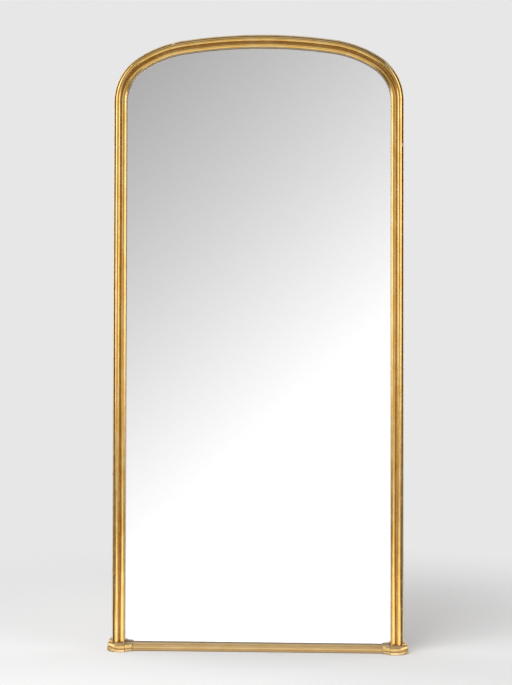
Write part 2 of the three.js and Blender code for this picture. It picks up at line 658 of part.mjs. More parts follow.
// Panelled back: stiles, rails and muntins, tenoned and grooved for thin panels
function addBack() {
  const sheet = board(archedShape(BACK_HALF - SIGHT_HALF, BACK_FOOT), 0, BACK_THICKNESS);
  const panelBack = (BACK_THICKNESS - PANEL_THICKNESS) / 2;
  const panelFront = panelBack + PANEL_THICKNESS;
  const half = BACK_MEMBER_WIDTH / 2;
  const bayPitch = (TOP_RAIL_FOOT - BACK_FOOT) / PANEL_ROWS;
  const railEnd = BACK_STILE_INNER - JOINT;
  const tenonEnd = BACK_STILE_INNER + BACK_TENON_LENGTH;

  // A rail is given by its foot and top, and rides on tenons let into the stiles
  const rails = [];
  for (let k = 0; k < PANEL_ROWS; k++) {
    const foot = BACK_FOOT + k * bayPitch;
    const name = k ? `back_cross_rail_${k}` : "back_bottom_rail";
    rails.push({ name, foot, top: foot + BACK_MEMBER_WIDTH });
  }
  rails.push({ name: "back_top_rail", foot: TOP_RAIL_FOOT, top: OVERALL_HEIGHT });
  const tenonOf = ({ foot }, growth) =>
    box(
      -tenonEnd - growth,
      tenonEnd + growth,
      foot + BACK_TENON_SHOULDER - growth,
      foot + BACK_MEMBER_WIDTH - BACK_TENON_SHOULDER + growth,
      panelBack - growth,
      panelFront + growth,
    );

  const panels = [];
  const muntins = [];
  for (let k = 0; k < PANEL_ROWS; k++) {
    const [foot, top] = [rails[k].top, rails[k + 1].foot];
    muntins.push({ name: `back_muntin_${k + 1}`, foot: foot + JOINT, top: top - JOINT });
    for (const { side, sign } of SIDES) {
      const edges = [sign * half, sign * BACK_STILE_INNER].sort((a, b) => a - b);
      panels.push({ name: `back_panel_${side}_${k + 1}`, left: edges[0], right: edges[1], foot, top });
    }
  }
  const panelBox = ({ left, right, foot, top }, slack) => {
    const tongue = PANEL_TONGUE + slack;
    return box(
      left - tongue,
      right + tongue,
      foot - tongue,
      top + tongue,
      panelBack - slack,
      panelFront + slack,
    );
  };
  const grooves = panels.map((panel) => panelBox(panel, JOINT));

  for (const panel of panels) addPiece(panel.name, "deal", panelBox(panel, 0));
  for (const { name, foot, top } of muntins) {
    const muntin = box(-half, half, foot, top, 0, BACK_THICKNESS);
    addPiece(name, "deal", cut(muntin, grooves));
  }
  for (const rail of rails) {
    const body = box(-railEnd, railEnd, rail.foot, rail.top, 0, BACK_THICKNESS);
    const shaped = cut(common(body, sheet), [...grooves, ...backScrewHoles]);
    addPiece(rail.name, "deal", join(shaped, [tenonOf(rail, 0)]));
  }
  const mortises = rails.map((rail) => tenonOf(rail, JOINT));
  for (const { side, sign } of SIDES) {
    const edges = [sign * BACK_STILE_INNER, sign * BACK_HALF].sort((a, b) => a - b);
    const body = box(edges[0], edges[1], BACK_FOOT, OVERALL_HEIGHT, 0, BACK_THICKNESS);
    const stile = cut(common(body, sheet), [...grooves, ...mortises, ...backScrewHoles]);
    addPiece(`back_stile_${side}`, "deal", stile);
  }
}

addCarcass();
addMoulding();
addPlinths();
addPlate();
addBack();
addHardware();

export default mirror;
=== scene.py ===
import json
import math

import bpy
from mathutils import Matrix, Vector

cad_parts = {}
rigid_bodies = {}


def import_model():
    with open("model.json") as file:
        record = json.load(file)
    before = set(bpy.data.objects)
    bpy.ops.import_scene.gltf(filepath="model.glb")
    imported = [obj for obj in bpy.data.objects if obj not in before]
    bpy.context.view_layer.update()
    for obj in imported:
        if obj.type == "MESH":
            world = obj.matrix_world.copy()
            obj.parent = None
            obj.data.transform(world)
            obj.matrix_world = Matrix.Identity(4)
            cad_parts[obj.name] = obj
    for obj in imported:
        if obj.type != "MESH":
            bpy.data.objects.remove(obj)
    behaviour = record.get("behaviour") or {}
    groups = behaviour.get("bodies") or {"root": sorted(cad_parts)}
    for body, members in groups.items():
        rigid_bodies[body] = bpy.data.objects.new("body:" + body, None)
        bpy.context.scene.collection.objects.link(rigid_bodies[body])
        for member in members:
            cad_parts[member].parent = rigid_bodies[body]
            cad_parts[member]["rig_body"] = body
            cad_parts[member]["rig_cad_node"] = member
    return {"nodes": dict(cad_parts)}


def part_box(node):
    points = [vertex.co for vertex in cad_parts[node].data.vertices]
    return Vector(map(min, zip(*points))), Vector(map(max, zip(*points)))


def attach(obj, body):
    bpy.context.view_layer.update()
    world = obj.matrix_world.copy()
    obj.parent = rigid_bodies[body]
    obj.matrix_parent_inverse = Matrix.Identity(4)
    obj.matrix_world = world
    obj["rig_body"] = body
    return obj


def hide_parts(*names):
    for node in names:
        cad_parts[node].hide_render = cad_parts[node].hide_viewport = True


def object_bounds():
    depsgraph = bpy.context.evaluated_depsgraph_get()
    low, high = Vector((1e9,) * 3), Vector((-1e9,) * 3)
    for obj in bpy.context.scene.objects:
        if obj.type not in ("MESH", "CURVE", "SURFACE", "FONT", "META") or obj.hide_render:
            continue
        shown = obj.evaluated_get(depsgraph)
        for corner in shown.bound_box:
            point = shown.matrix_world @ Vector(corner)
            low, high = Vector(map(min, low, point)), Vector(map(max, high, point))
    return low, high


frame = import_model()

cad_low, cad_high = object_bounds()

# The camera stands on a tripod at the middle of the mirror's height, four and a half metres off and
# a little to the right of it. It is turned towards the mirror and tipped up by less than a degree,
# so that the right-hand stile is slightly nearer and the stiles draw together a little upwards.
CAMERA_PLACE = Vector((0.1677, -4.5925, 1.0751))
CAMERA_TURN = math.radians(2.174)  # to the left
CAMERA_TILT = math.radians(0.695)  # upwards
CAMERA_ROLL = math.radians(0.139)  # anticlockwise
LENS_MM = 68.36
LENS_SHIFT = -0.0174  # keeps the mirror in the middle of the picture

camera_data = bpy.data.cameras.new("camera")
camera_data.lens = LENS_MM
camera_data.shift_y = LENS_SHIFT
camera = bpy.data.objects.new("camera", camera_data)
bpy.context.scene.collection.objects.link(camera)
turned = Matrix.Rotation(CAMERA_TURN, 4, "Z") @ Matrix.Rotation(math.pi / 2 + CAMERA_TILT, 4, "X")
turned = turned @ Matrix.Rotation(CAMERA_ROLL, 4, "Z")
camera.matrix_world = Matrix.Translation(CAMERA_PLACE) @ turned
bpy.context.scene.camera = camera
bpy.context.scene.view_settings.view_transform = "Standard"


# The room is a pale studio. What the plate and the gilding mirror is a soft gradient, greyer up on
# the left, with a bright wall on each side and a lit ceiling. The camera itself sees a plain pale
# ground, and the floor takes the shadow and fades out into that ground.
GROUND = 0.80  # brightness of the plain ground that the camera sees
FLOOR_RADIUS = 4.0
FLOOR_FADE_FROM = 0.9
FLOOR_FADE_TO = 2.6


def add(tree, kind, inputs=None, **settings):
    """Adds a node with its settings. An input is a value or another node's output."""
    made = tree.nodes.new("ShaderNode" + kind)
    for name, value in settings.items():
        setattr(made, name, value)
    for socket, value in (inputs or {}).items():
        if isinstance(value, bpy.types.NodeSocket):
            tree.links.new(value, made.inputs[socket])
        else:
            made.inputs[socket].default_value = value
    return made.outputs


def bare_tree(owner):
    owner.use_nodes = True
    owner.node_tree.nodes.clear()
    return owner.node_tree


def deselect_all():
    if bpy.context.object and bpy.context.object.mode == "EDIT":
        bpy.ops.object.mode_set(mode="OBJECT")
    bpy.ops.object.select_all(action="DESELECT")


room = bpy.data.worlds.new("pale_studio")
bpy.context.scene.world = room
tree = bare_tree(room)
reach, _, rise = add(tree, "SeparateXYZ", {0: add(tree, "TexCoord")["Generated"]}).values()
# the gradient that the plate mirrors, in display brightness, from how far a ray rises and how far
# it reaches sideways
tone = add(tree, "Math", {0: rise, 1: -0.975, 2: 1.018}, operation="MULTIPLY_ADD")[0]
tone = add(tree, "Math", {0: reach, 1: 0.86, 2: tone}, operation="MULTIPLY_ADD")[0]
tone = add(tree, "Clamp", {0: tone, "Min": 0.58, "Max": 1.24})[0]
front = add(tree, "Math", {0: tone, 1: 2.2}, operation="POWER")[0]
# the right of the room is dim up to the right-hand wall, the floor far out in front is dim, and
# both walls are bright above the horizon
upper = add(
    tree, "MapRange",
    {"Value": rise, "From Min": -0.12, "From Max": 0.03},
    interpolation_type="SMOOTHSTEP",
)[0]
curtain = add(
    tree, "MapRange",
    {
        "Value": add(tree, "Math", {0: upper, 1: 0.24, 2: reach}, operation="MULTIPLY_ADD")[0],
        "From Min": 0.33,
        "From Max": 0.48,
        "To Max": 0.75,
    },
    interpolation_type="SMOOTHSTEP",
)[0]
below = add(
    tree, "MapRange",
    {"Value": rise, "From Min": -0.225, "From Max": -0.27, "To Max": 0.7},
    interpolation_type="SMOOTHSTEP",
)[0]
dimmed = add(
    tree, "Math",
    {0: 1.0, 1: add(tree, "Math", {0: curtain, 1: below}, operation="MAXIMUM")[0]},
    operation="SUBTRACT",
)[0]
wall_right = add(
    tree, "MapRange",
    {"Value": reach, "From Min": 0.60, "From Max": 0.78, "To Max": 2.0},
    interpolation_type="SMOOTHSTEP",
)[0]
wall_left = add(
    tree, "MapRange",
    {"Value": reach, "From Min": -0.56, "From Max": -0.74, "To Max": 1.8},
    interpolation_type="SMOOTHSTEP",
)[0]
walls = add(tree, "Math", {0: wall_right, 1: wall_left}, operation="ADD")[0]
level = add(tree, "Math", {0: front, 1: dimmed}, operation="MULTIPLY")[0]
level = add(
    tree, "Math",
    {0: level, 1: add(tree, "Math", {0: walls, 1: upper}, operation="MULTIPLY")[0]},
    operation="ADD",
)[0]
level = add(
    tree, "Math",
    {
        0: level,
        1: add(
            tree, "MapRange",
            {"Value": rise, "From Min": 0.70, "From Max": 0.95, "To Max": 0.25},
            interpolation_type="SMOOTHSTEP",
        )[0],
    },
    operation="ADD",
)[0]
level = add(tree, "Math", {0: level, 1: 2.1}, operation="MINIMUM")[0]
rays = add(tree, "LightPath")
lit = add(tree, "Background", {"Color": (1, 1, 1, 1), "Strength": level})
ground = add(tree, "Background", {"Color": (1, 1, 1, 1), "Strength": GROUND})
both = add(tree, "MixShader", {0: rays["Is Camera Ray"], 1: lit[0], 2: ground[0]})
add(tree, "OutputWorld", {"Surface": both[0]})


def softbox(name, place, aim, width, height, watts):
    """A flat lamp at a place, turned to face a point."""
    lamp_data = bpy.data.lights.new(name, "AREA")
    lamp_data.shape = "RECTANGLE"
    lamp_data.size = width
    lamp_data.size_y = height
    lamp_data.energy = watts
    lamp = bpy.data.objects.new(name, lamp_data)
    bpy.context.scene.collection.objects.link(lamp)
    turn = (Vector(aim) - Vector(place)).to_track_quat("-Z", "Y").to_matrix().to_4x4()
    lamp.matrix_world = Matrix.Translation(place) @ turn
    return lamp


overhead = softbox("overhead_softbox", (-1.2, -2.2, 3.4), (0, 0, 0.9), 2.4, 1.6, 90)
overhead.visible_glossy = False
overhead.visible_transmission = False
# a white board lies on the floor in front, from the foot of the frame out, for the gilding to
# mirror; the silver doesn't see it, so that its far edge hardly shows in the plate
board = softbox("floor_board", (0, -1.22, -0.002), (0, -1.22, 1), 2.4, 2.36, 14)
board.visible_camera = False
board.visible_diffuse = False
board.visible_transmission = False

deselect_all()
bpy.ops.mesh.primitive_circle_add(vertices=96, radius=FLOOR_RADIUS, fill_type="NGON")
floor = bpy.context.object
floor.name = "floor"
paper = bpy.data.materials.new("seamless_paper")
tree = bare_tree(paper)
place = add(tree, "TexCoord")["Object"]
far = add(tree, "VectorMath", {0: place}, operation="LENGTH")["Value"]
far = add(
    tree, "MapRange",
    {"Value": far, "From Min": FLOOR_FADE_FROM, "From Max": FLOOR_FADE_TO},
    interpolation_type="SMOOTHSTEP",
)[0]
rays = add(tree, "LightPath")
unseen = add(
    tree, "Math", {0: rays["Is Glossy Ray"], 1: rays["Is Transmission Ray"]}, operation="MAXIMUM",
)[0]
clear = add(tree, "Math", {0: unseen, 1: far}, operation="MAXIMUM")[0]
matt = add(tree, "BsdfDiffuse", {"Color": (0.80, 0.80, 0.80, 1)})
through = add(tree, "BsdfTransparent", {"Color": (1, 1, 1, 1)})
cover = add(tree, "MixShader", {0: clear, 1: matt[0], 2: through[0]})
add(tree, "OutputMaterial", {"Surface": cover[0]})
floor.data.materials.append(paper)


# The gilt moulding is pine, coated with gesso, run to shape with a scraper, brushed with ochre and
# red clay bole and water gilt. Leaf lies a little uneven, so the burnished reeds mirror the room in
# broken streaks; the crowns are rubbed to the bole, their brown partly a painted dark reflection,
# dirt lies in the quirks, and the deep quirk beside the bead is darkened with painted shade.
OVERALL_HEIGHT = cad_high.z
STILE_LOW, STILE_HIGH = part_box("moulding_stile_right")
SIGHT_HALF = STILE_LOW.x
STILE_FACE = STILE_HIGH.x
MOULDING_FOOT = STILE_LOW.z
MOULDING_BACK = STILE_HIGH.y
WIDTH = STILE_FACE - SIGHT_HALF
JOINT = 0.0003
SPRING = STILE_HIGH.z + JOINT / 2
SHOULDER_RADIUS = 0.186
SHOULDER_END = math.radians(57)
HAUNCH_RADIUS = 0.405
HAUNCH_END = SHOULDER_END + math.radians(24.5)
shoulder_x = STILE_FACE - SHOULDER_RADIUS
haunch_x = shoulder_x - (HAUNCH_RADIUS - SHOULDER_RADIUS) * math.cos(SHOULDER_END)
haunch_z = (SHOULDER_RADIUS - HAUNCH_RADIUS) * math.sin(SHOULDER_END)
CROWN_RADIUS = HAUNCH_RADIUS + haunch_x / math.cos(HAUNCH_END)
crown_z = haunch_z - (CROWN_RADIUS - HAUNCH_RADIUS) * math.sin(HAUNCH_END)
# each arc of the arch, from the right spring over to the left one
ARCS = [
    (shoulder_x, 0.0, SHOULDER_RADIUS, 0.0, SHOULDER_END),
    (haunch_x, haunch_z, HAUNCH_RADIUS, SHOULDER_END, HAUNCH_END),
    (0.0, crown_z, CROWN_RADIUS, HAUNCH_END, math.pi - HAUNCH_END),
    (-haunch_x, haunch_z, HAUNCH_RADIUS, math.pi - HAUNCH_END, math.pi - SHOULDER_END),
    (-shoulder_x, 0.0, SHOULDER_RADIUS, math.pi - SHOULDER_END, math.pi),
]

MM = 0.001
INNER_REED = (0.0, 19.5 * MM)  # from the sight edge outwards
MAIN_REED = (21.0 * MM, 36.5 * MM)
BEAD = (40.0 * MM, WIDTH)
SIGHT_LIP = 10 * MM
INNER_SHOULDER = 10 * MM
INNER_CROWN = 8.5 * MM
QUIRK_FILL = 13 * MM  # gesso has half filled the quirk between the two reeds
MAIN_BASE = 14.5 * MM
MAIN_CROWN = 11 * MM
DEEP_QUIRK_FLOOR = 8.5 * MM
QUIRK_DRAFT = 0.6 * MM
BEAD_BASE = 9.5 * MM
STEP_ALONG = 4 * MM  # length of one facet round the arch
STILE_STEP = 7 * MM
PLAIN_EDGE = 0.6  # a plain edge is rubbed rather less than a crown


def arc_points(start, end, crown, steps):
    """Points on the arc over a chord, proud of it by crown on its left-hand side."""
    (a1, b1), (a2, b2) = start, end
    half = math.hypot(a2 - a1, b2 - b1) / 2
    ax, ay = (a2 - a1) / (2 * half), (b2 - b1) / (2 * half)
    radius = (half * half + crown * crown) / (2 * crown)
    sweep = math.acos((radius - crown) / radius)
    points = []
    for k in range(steps + 1):
        angle = sweep * (2 * k / steps - 1)
        across, up = radius * math.sin(angle), radius * math.cos(angle) + crown - radius
        a, b = (a1 + a2) / 2 + ax * across - ay * up, (b1 + b2) / 2 + ay * across + ax * up
        points.append((a, b))
    return points


def reeded_section():
    """The moulding's section as points (distance from the sight edge, height above its back)."""
    inner_reed = arc_points((0.0, SIGHT_LIP), (INNER_REED[1], INNER_SHOULDER), INNER_CROWN, 20)
    return [
        (0.0, 0.0),
        *[point for point in inner_reed if point[0] < INNER_REED[1] / 2 or point[1] > QUIRK_FILL],
        (19.0 * MM, QUIRK_FILL),
        (20.4 * MM, QUIRK_FILL),
        *arc_points((MAIN_REED[0], MAIN_BASE), (MAIN_REED[1], MAIN_BASE), MAIN_CROWN, 22),
        (MAIN_REED[1] + QUIRK_DRAFT, DEEP_QUIRK_FLOOR),
        (BEAD[0] - QUIRK_DRAFT, DEEP_QUIRK_FLOOR),
        *arc_points((BEAD[0], BEAD_BASE), (BEAD[1], BEAD_BASE), (BEAD[1] - BEAD[0]) / 2, 12),
        (WIDTH, 0.0),
    ]


def draw_section(name, points):
    """Draws an outline from one starting point, fills it, and leaves it in edit mode."""
    deselect_all()
    bpy.ops.mesh.primitive_plane_add(size=MM, location=points[0])
    piece = bpy.context.object
    piece.name = name
    bpy.ops.object.transform_apply(location=True, rotation=True, scale=True)
    bpy.ops.object.mode_set(mode="EDIT")
    bpy.ops.mesh.select_all(action="SELECT")
    bpy.ops.mesh.merge(type="CENTER")
    for before, after in zip(points, points[1:]):
        step = tuple(b - a for a, b in zip(before, after))
        bpy.ops.mesh.extrude_region_move(TRANSFORM_OT_translate={"value": step})
    bpy.ops.mesh.select_all(action="SELECT")
    bpy.ops.mesh.edge_face_add()
    return piece


def close_up(piece):
    """Merges doubles, turns all faces outwards and leaves edit mode."""
    bpy.ops.mesh.select_all(action="SELECT")
    bpy.ops.mesh.remove_doubles(threshold=1e-6)
    bpy.ops.mesh.normals_make_consistent(inside=False)
    bpy.ops.object.mode_set(mode="OBJECT")
    piece.data.name = piece.name
    return piece


def along_frame(x, z):
    """Where a point lies on the moulding: out from the sight edge, and along it from the foot."""
    if z <= SPRING:
        return abs(x) - SIGHT_HALF, z
    run = SPRING
    for cx, cz, radius, start, end in ARCS[:3]:
        angle = math.atan2(z - SPRING - cz, abs(x) - cx)
        if angle <= end:
            break
        run += radius * (end - start)
    run += radius * (angle - start)
    return math.hypot(abs(x) - cx, z - SPRING - cz) - radius + WIDTH, run


TOP_RUN = along_frame(0.0, OVERALL_HEIGHT)[1]


def arch_place(point):
    """Out from the sight edge, and along from the right foot over the crown to the left foot."""
    across, run = along_frame(point[0], point[-1])
    return across, run if point[0] >= 0 else 2 * TOP_RUN - run


def relief(across, height):
    """0 at the bottom of a quirk, 1 on the crown of a reed or bead, 0.6 on the plain edges."""
    open_side = across < INNER_REED[1] / 2 or across > (BEAD[0] + WIDTH) / 2
    for low, high in (INNER_REED, MAIN_REED, BEAD):
        if low <= across <= high and height > BEAD_BASE * 0.9:
            crown = math.sin(math.pi * (across - low) / (high - low))
            return max(crown, PLAIN_EDGE) if open_side else crown
    return PLAIN_EDGE if open_side else 0.0


def store_run(piece, place_of):
    """Keeps on the mesh where each point lies on the moulding, for the gilding to follow."""
    mesh = piece.data
    crown = mesh.attributes.new("crown", "FLOAT", "POINT")
    joint = mesh.attributes.new("joint", "FLOAT", "POINT")
    places = [place_of(vertex.co) for vertex in mesh.vertices]
    ends = min(run for _, run in places), max(run for _, run in places)
    for vertex, (across, run) in zip(mesh.vertices, places):
        crown.data[vertex.index].value = relief(across, MOULDING_BACK - vertex.co.y)
        joint.data[vertex.index].value = min(abs(run - end) for end in ends)
    layer = mesh.uv_layers.get("run") or mesh.uv_layers.new(name="run")
    for loop in mesh.loops:
        layer.data[loop.index].uv = places[loop.vertex_index]


# The scraper and the gilder's hand leave each reed a fraction of a millimetre uneven
hand_texture = bpy.data.textures.new("hand_run_gesso", "CLOUDS")
hand_texture.noise_scale = 0.035
hand_texture.noise_depth = 1
HAND_DEPTH = 0.3 * MM


def finish_moulding(piece, node):
    """Makes the reeds slightly uneven, smooths the shading, and seats the piece on the frame."""
    deselect_all()
    piece.select_set(True)
    bpy.context.view_layer.objects.active = piece
    uneven = piece.modifiers.new("uneven", "DISPLACE")
    uneven.texture = hand_texture
    uneven.texture_coords = "LOCAL"
    uneven.strength = HAND_DEPTH
    uneven.mid_level = 1.0  # only ever scraped away
    bpy.ops.object.modifier_apply(modifier="uneven")
    bpy.ops.object.shade_smooth_by_angle(angle=math.radians(38))
    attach(piece, "root")
    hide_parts(node)
    return piece


def srgb(text):
    """An sRGB hex colour as linear RGBA."""
    parts = [int(text[i:i + 2], 16) / 255 for i in (1, 3, 5)]
    return (*[p / 12.92 if p <= 0.04045 else ((p + 0.055) / 1.055) ** 2.4 for p in parts], 1.0)


# Places where the gesso has gone, from one point (x, z) to another on the front of the frame, with
# how far out from the sight edge they lie, half their breadth, and how complete the loss is
LOSSES = [
    ((0.4410, 2.0900), (0.4790, 2.0400), 38.3 * MM, 2.2 * MM, 1.0),
    ((0.5110, 1.8600), (0.5110, 1.8200), 43.5 * MM, 2.5 * MM, 0.7),
    ((0.5110, 1.7600), (0.5110, 1.6600), 43.5 * MM, 2.5 * MM, 0.6),
    ((0.5110, 1.6400), (0.5110, 1.5900), 43.5 * MM, 2.5 * MM, 0.6),
    ((0.5060, 1.7930), (0.5060, 1.7820), 38.0 * MM, 6.0 * MM, 1.0),
    ((-0.2990, 2.1170), (-0.2910, 2.1190), 40.0 * MM, 5.0 * MM, 1.0),
    ((-0.4320, 2.0460), (-0.4270, 2.0510), 38.0 * MM, 4.0 * MM, 0.9),
]


DEEP_QUIRK_MIDDLE = (MAIN_REED[1] + BEAD[0]) / 2
FOOT_FILLET = (19 * MM, 26 * MM)  # down from the top of the base rail, where it grows darker towards the foot
PLINTH_GROOVES = (10.6 * MM, 28.3 * MM)  # heights of the grooves round a plinth
CARVED_CROWN = 0.55  # how much of a crown a carved face counts as


def gilding_material(name, follows_run, matt=0.0):
    """Gilding over bole, by the stored run of a moulding or on a carved block. matt: how dusty."""
    made = bpy.data.materials.new(name)
    tree = bare_tree(made)
    place = add(tree, "TexCoord")["Object"]
    if follows_run:
        run = add(tree, "UVMap", uv_map="run")[0]
        crown = add(tree, "Attribute", attribute_name="crown")["Fac"]
        joint = add(tree, "Attribute", attribute_name="joint")["Fac"]
    else:
        run = place
        crown = CARVED_CROWN

    def noise(vector, size_mm, detail=3.0, stretch=(1, 1, 1), roughness=0.55):
        scale = tuple(s / (size_mm * MM) for s in stretch)
        mapped = add(tree, "Mapping", {"Vector": vector, "Scale": scale})[0]
        settings = {"Vector": mapped, "Scale": 1.0, "Detail": detail, "Roughness": roughness}
        return add(tree, "TexNoise", settings)[0]

    # leaf: paler and redder areas, a leaf 80 mm long at a time
    leaf = noise(run, 60, 2.0, (1.6, 0.8, 1))
    gold = add(
        tree, "Mix",
        {
            0: add(
                tree, "MapRange",
                {"Value": leaf, "From Min": 0.35, "From Max": 0.65},
                interpolation_type="SMOOTHSTEP",
            )[0],
            6: srgb("#DBAE5E"),
            7: srgb("#E5BE78"),
        },
        data_type="RGBA",
    )[2]
    streak = noise(run, 4.0, 3.0, (1.0, 0.03, 1))
    gold = add(
        tree, "Mix",
        {
            0: add(
                tree, "MapRange",
                {"Value": streak, "From Min": 0.5, "From Max": 0.8, "To Max": 0.35},
                interpolation_type="SMOOTHSTEP",
            )[0],
            6: gold,
            7: srgb("#C5923F"),
        },
        data_type="RGBA",
    )[2]

    # rubbed crowns, where the ochre and red bole shows through thin leaf; the brown there is partly
    #     # a painted dark reflection on the reed crowns
    rub = noise(run, 16, 4.0, (1.4, 0.25, 1))
    rubbed_and_painted_dark = add(tree, "Math", {0: crown, 1: 0.20, 2: rub}, operation="MULTIPLY_ADD")[0]
    rubbed_and_painted_dark = add(
        tree, "MapRange",
        {"Value": rubbed_and_painted_dark, "From Min": 0.76, "From Max": 0.98, "To Max": 0.45},
        interpolation_type="SMOOTHSTEP",
    )[0]
    colour = add(tree, "Mix", {0: rubbed_and_painted_dark, 6: gold, 7: srgb("#A06A30")}, data_type="RGBA")[2]

    # dirt and old size in the quirks, and along the sight edge; further down the same mask also
    #     # carries painted shade in the deep quirk and the plinth grooves
    patch_noise = noise(place, 9, 4.0)
    hollow = add(tree, "Math", {0: 1.0, 1: crown}, operation="SUBTRACT")[0]
    dirt_and_shade = add(tree, "Math", {0: hollow, 1: 0.75, 2: patch_noise}, operation="MULTIPLY_ADD")[0]
    dirt_and_shade = add(
        tree, "MapRange",
        {"Value": dirt_and_shade, "From Min": 0.98, "From Max": 1.22, "To Max": 0.35},
        interpolation_type="SMOOTHSTEP",
    )[0]
    if follows_run:
        across = add(tree, "SeparateXYZ", {0: run})["X"]
        # the deep quirk beside the bead, where painted shade is laid further down
        off = add(tree, "Math", {0: across, 1: DEEP_QUIRK_MIDDLE}, operation="SUBTRACT")[0]
        off = add(tree, "Math", {0: off}, operation="ABSOLUTE")[0]
        deep_quirk_shade = add(
            tree, "MapRange",
            {"Value": off, "From Min": 2.2 * MM, "From Max": 1.6 * MM},
            interpolation_type="SMOOTHSTEP",
        )[0]
        if matt:
            # the base rail is made darker and duller towards its foot
            foot = add(
                tree, "MapRange",
                {
                    "Value": across,
                    "From Min": FOOT_FILLET[0],
                    "From Max": FOOT_FILLET[1],
                    "To Max": 0.9,
                },
                interpolation_type="SMOOTHSTEP",
            )[0]
            dirt_and_shade = add(tree, "Math", {0: dirt_and_shade, 1: foot}, operation="MAXIMUM")[0]
    else:
        height = add(tree, "SeparateXYZ", {0: place})["Z"]
        # painted shade: a dark line along each groove round a plinth
        for groove in PLINTH_GROOVES:
            off = add(tree, "Math", {0: height, 1: groove}, operation="SUBTRACT")[0]
            off = add(tree, "Math", {0: off}, operation="ABSOLUTE")[0]
            groove_shade = add(
                tree, "MapRange",
                {"Value": off, "From Min": 1.6 * MM, "From Max": 0.6 * MM, "To Max": 0.7},
                interpolation_type="SMOOTHSTEP",
            )[0]
            dirt_and_shade = add(tree, "Math", {0: dirt_and_shade, 1: groove_shade}, operation="MAXIMUM")[0]
    colour = add(tree, "Mix", {0: dirt_and_shade, 6: colour, 7: srgb("#7A5520")}, data_type="RGBA")[2]

    # the leaf is thin and pale on the outer bead, which is handled most, and on the sight edge; the
    # quirk beside the bead is darkened with painted shade, near-black brown in patches
    if follows_run:
        bead = add(
            tree, "MapRange",
            {"Value": across, "From Min": BEAD[0], "From Max": BEAD[0] + 0.6 * MM},
            interpolation_type="SMOOTHSTEP",
        )[0]
        worn = add(
            tree, "MapRange",
            {
                "Value": noise(run, 11, 3.0, (1, 0.3, 1)),
                "From Min": 0.15,
                "From Max": 0.55,
                "To Max": 0.9,
            },
            interpolation_type="SMOOTHSTEP",
        )[0]
        worn = add(tree, "Math", {0: bead, 1: worn}, operation="MULTIPLY")[0]
        sight = add(
            tree, "MapRange",
            {"Value": across, "From Min": 0.7 * MM, "From Max": 0.2 * MM, "To Max": 0.9},
            interpolation_type="SMOOTHSTEP",
        )[0]
        worn = add(tree, "Math", {0: worn, 1: sight}, operation="MAXIMUM")[0]
    else:  # the foot band of a plinth, which brooms and feet rub
        worn = add(
            tree, "MapRange",
            {"Value": height, "From Min": 9 * MM, "From Max": 7 * MM, "To Max": 0.5},
            interpolation_type="SMOOTHSTEP",
        )[0]
    worn = add(tree, "Math", {0: worn, 1: matt}, operation="MAXIMUM")[0]
    colour = add(tree, "Mix", {0: worn, 6: colour, 7: srgb("#DCC5A0")}, data_type="RGBA")[2]
    if follows_run:
        # painted shade: the deep quirk by the bead goes near-black brown in patches
        shade_patches = add(
            tree, "MapRange",
            {"Value": patch_noise, "From Min": 0.25, "From Max": 0.5, "To Max": 0.95},
            interpolation_type="SMOOTHSTEP",
        )[0]
        deep_quirk_shade = add(tree, "Math", {0: deep_quirk_shade, 1: shade_patches}, operation="MULTIPLY")[0]
        dirt_and_shade = add(tree, "Math", {0: dirt_and_shade, 1: deep_quirk_shade}, operation="MAXIMUM")[0]
        colour = add(tree, "Mix", {0: deep_quirk_shade, 6: colour, 7: srgb("#3A260C")}, data_type="RGBA")[2]

    # losses down to white gesso, from the named places and at worn joints
    chips = noise(place, 3.0, 4.0)
    lost = chips
    if follows_run:
        for start, end, out, half, depth in LOSSES:
            runs = sorted((arch_place(start)[1], arch_place(end)[1]))
            reach_along = (runs[1] - runs[0]) / 2 + half / 2
            centre = (out / half, sum(runs) / 2 / reach_along, 0)
            off = add(tree, "Mapping", {"Vector": run, "Scale": (1 / half, 1 / reach_along, 1)})[0]
            off = add(tree, "VectorMath", {0: off, 1: centre}, operation="DISTANCE")["Value"]
            loss = add(
                tree, "MapRange",
                {"Value": off, "From Min": 1.0, "From Max": 0.5, "To Max": depth * 0.36},
                interpolation_type="SMOOTHSTEP",
            )[0]
            lost = add(tree, "Math", {0: lost, 1: loss}, operation="ADD")[0]
        loss = add(
            tree, "MapRange",
            {"Value": joint, "From Min": 2.5 * MM, "From Max": 0.5 * MM, "To Max": 0.08},
            interpolation_type="SMOOTHSTEP",
        )[0]
        lost = add(tree, "Math", {0: lost, 1: loss}, operation="ADD")[0]
    gone = add(
        tree, "MapRange",
        {"Value": lost, "From Min": 0.70, "From Max": 0.76},
        interpolation_type="SMOOTHSTEP",
    )[0]
    colour = add(tree, "Mix", {0: gone, 6: colour, 7: srgb("#E6D8C0")}, data_type="RGBA")[2]

    # dust on what faces up
    upward = add(tree, "SeparateXYZ", {0: add(tree, "NewGeometry")["Normal"]})["Z"]
    dust = add(
        tree, "MapRange",
        {"Value": upward, "From Min": 0.15, "From Max": 0.95, "To Max": 0.45},
        interpolation_type="SMOOTHSTEP",
    )[0]
    settled = noise(place, 14, 3.0)
    dust = add(tree, "Math", {0: dust, 1: settled}, operation="MULTIPLY")[0]
    colour = add(tree, "Mix", {0: dust, 6: colour, 7: srgb("#CBBBA0")}, data_type="RGBA")[2]

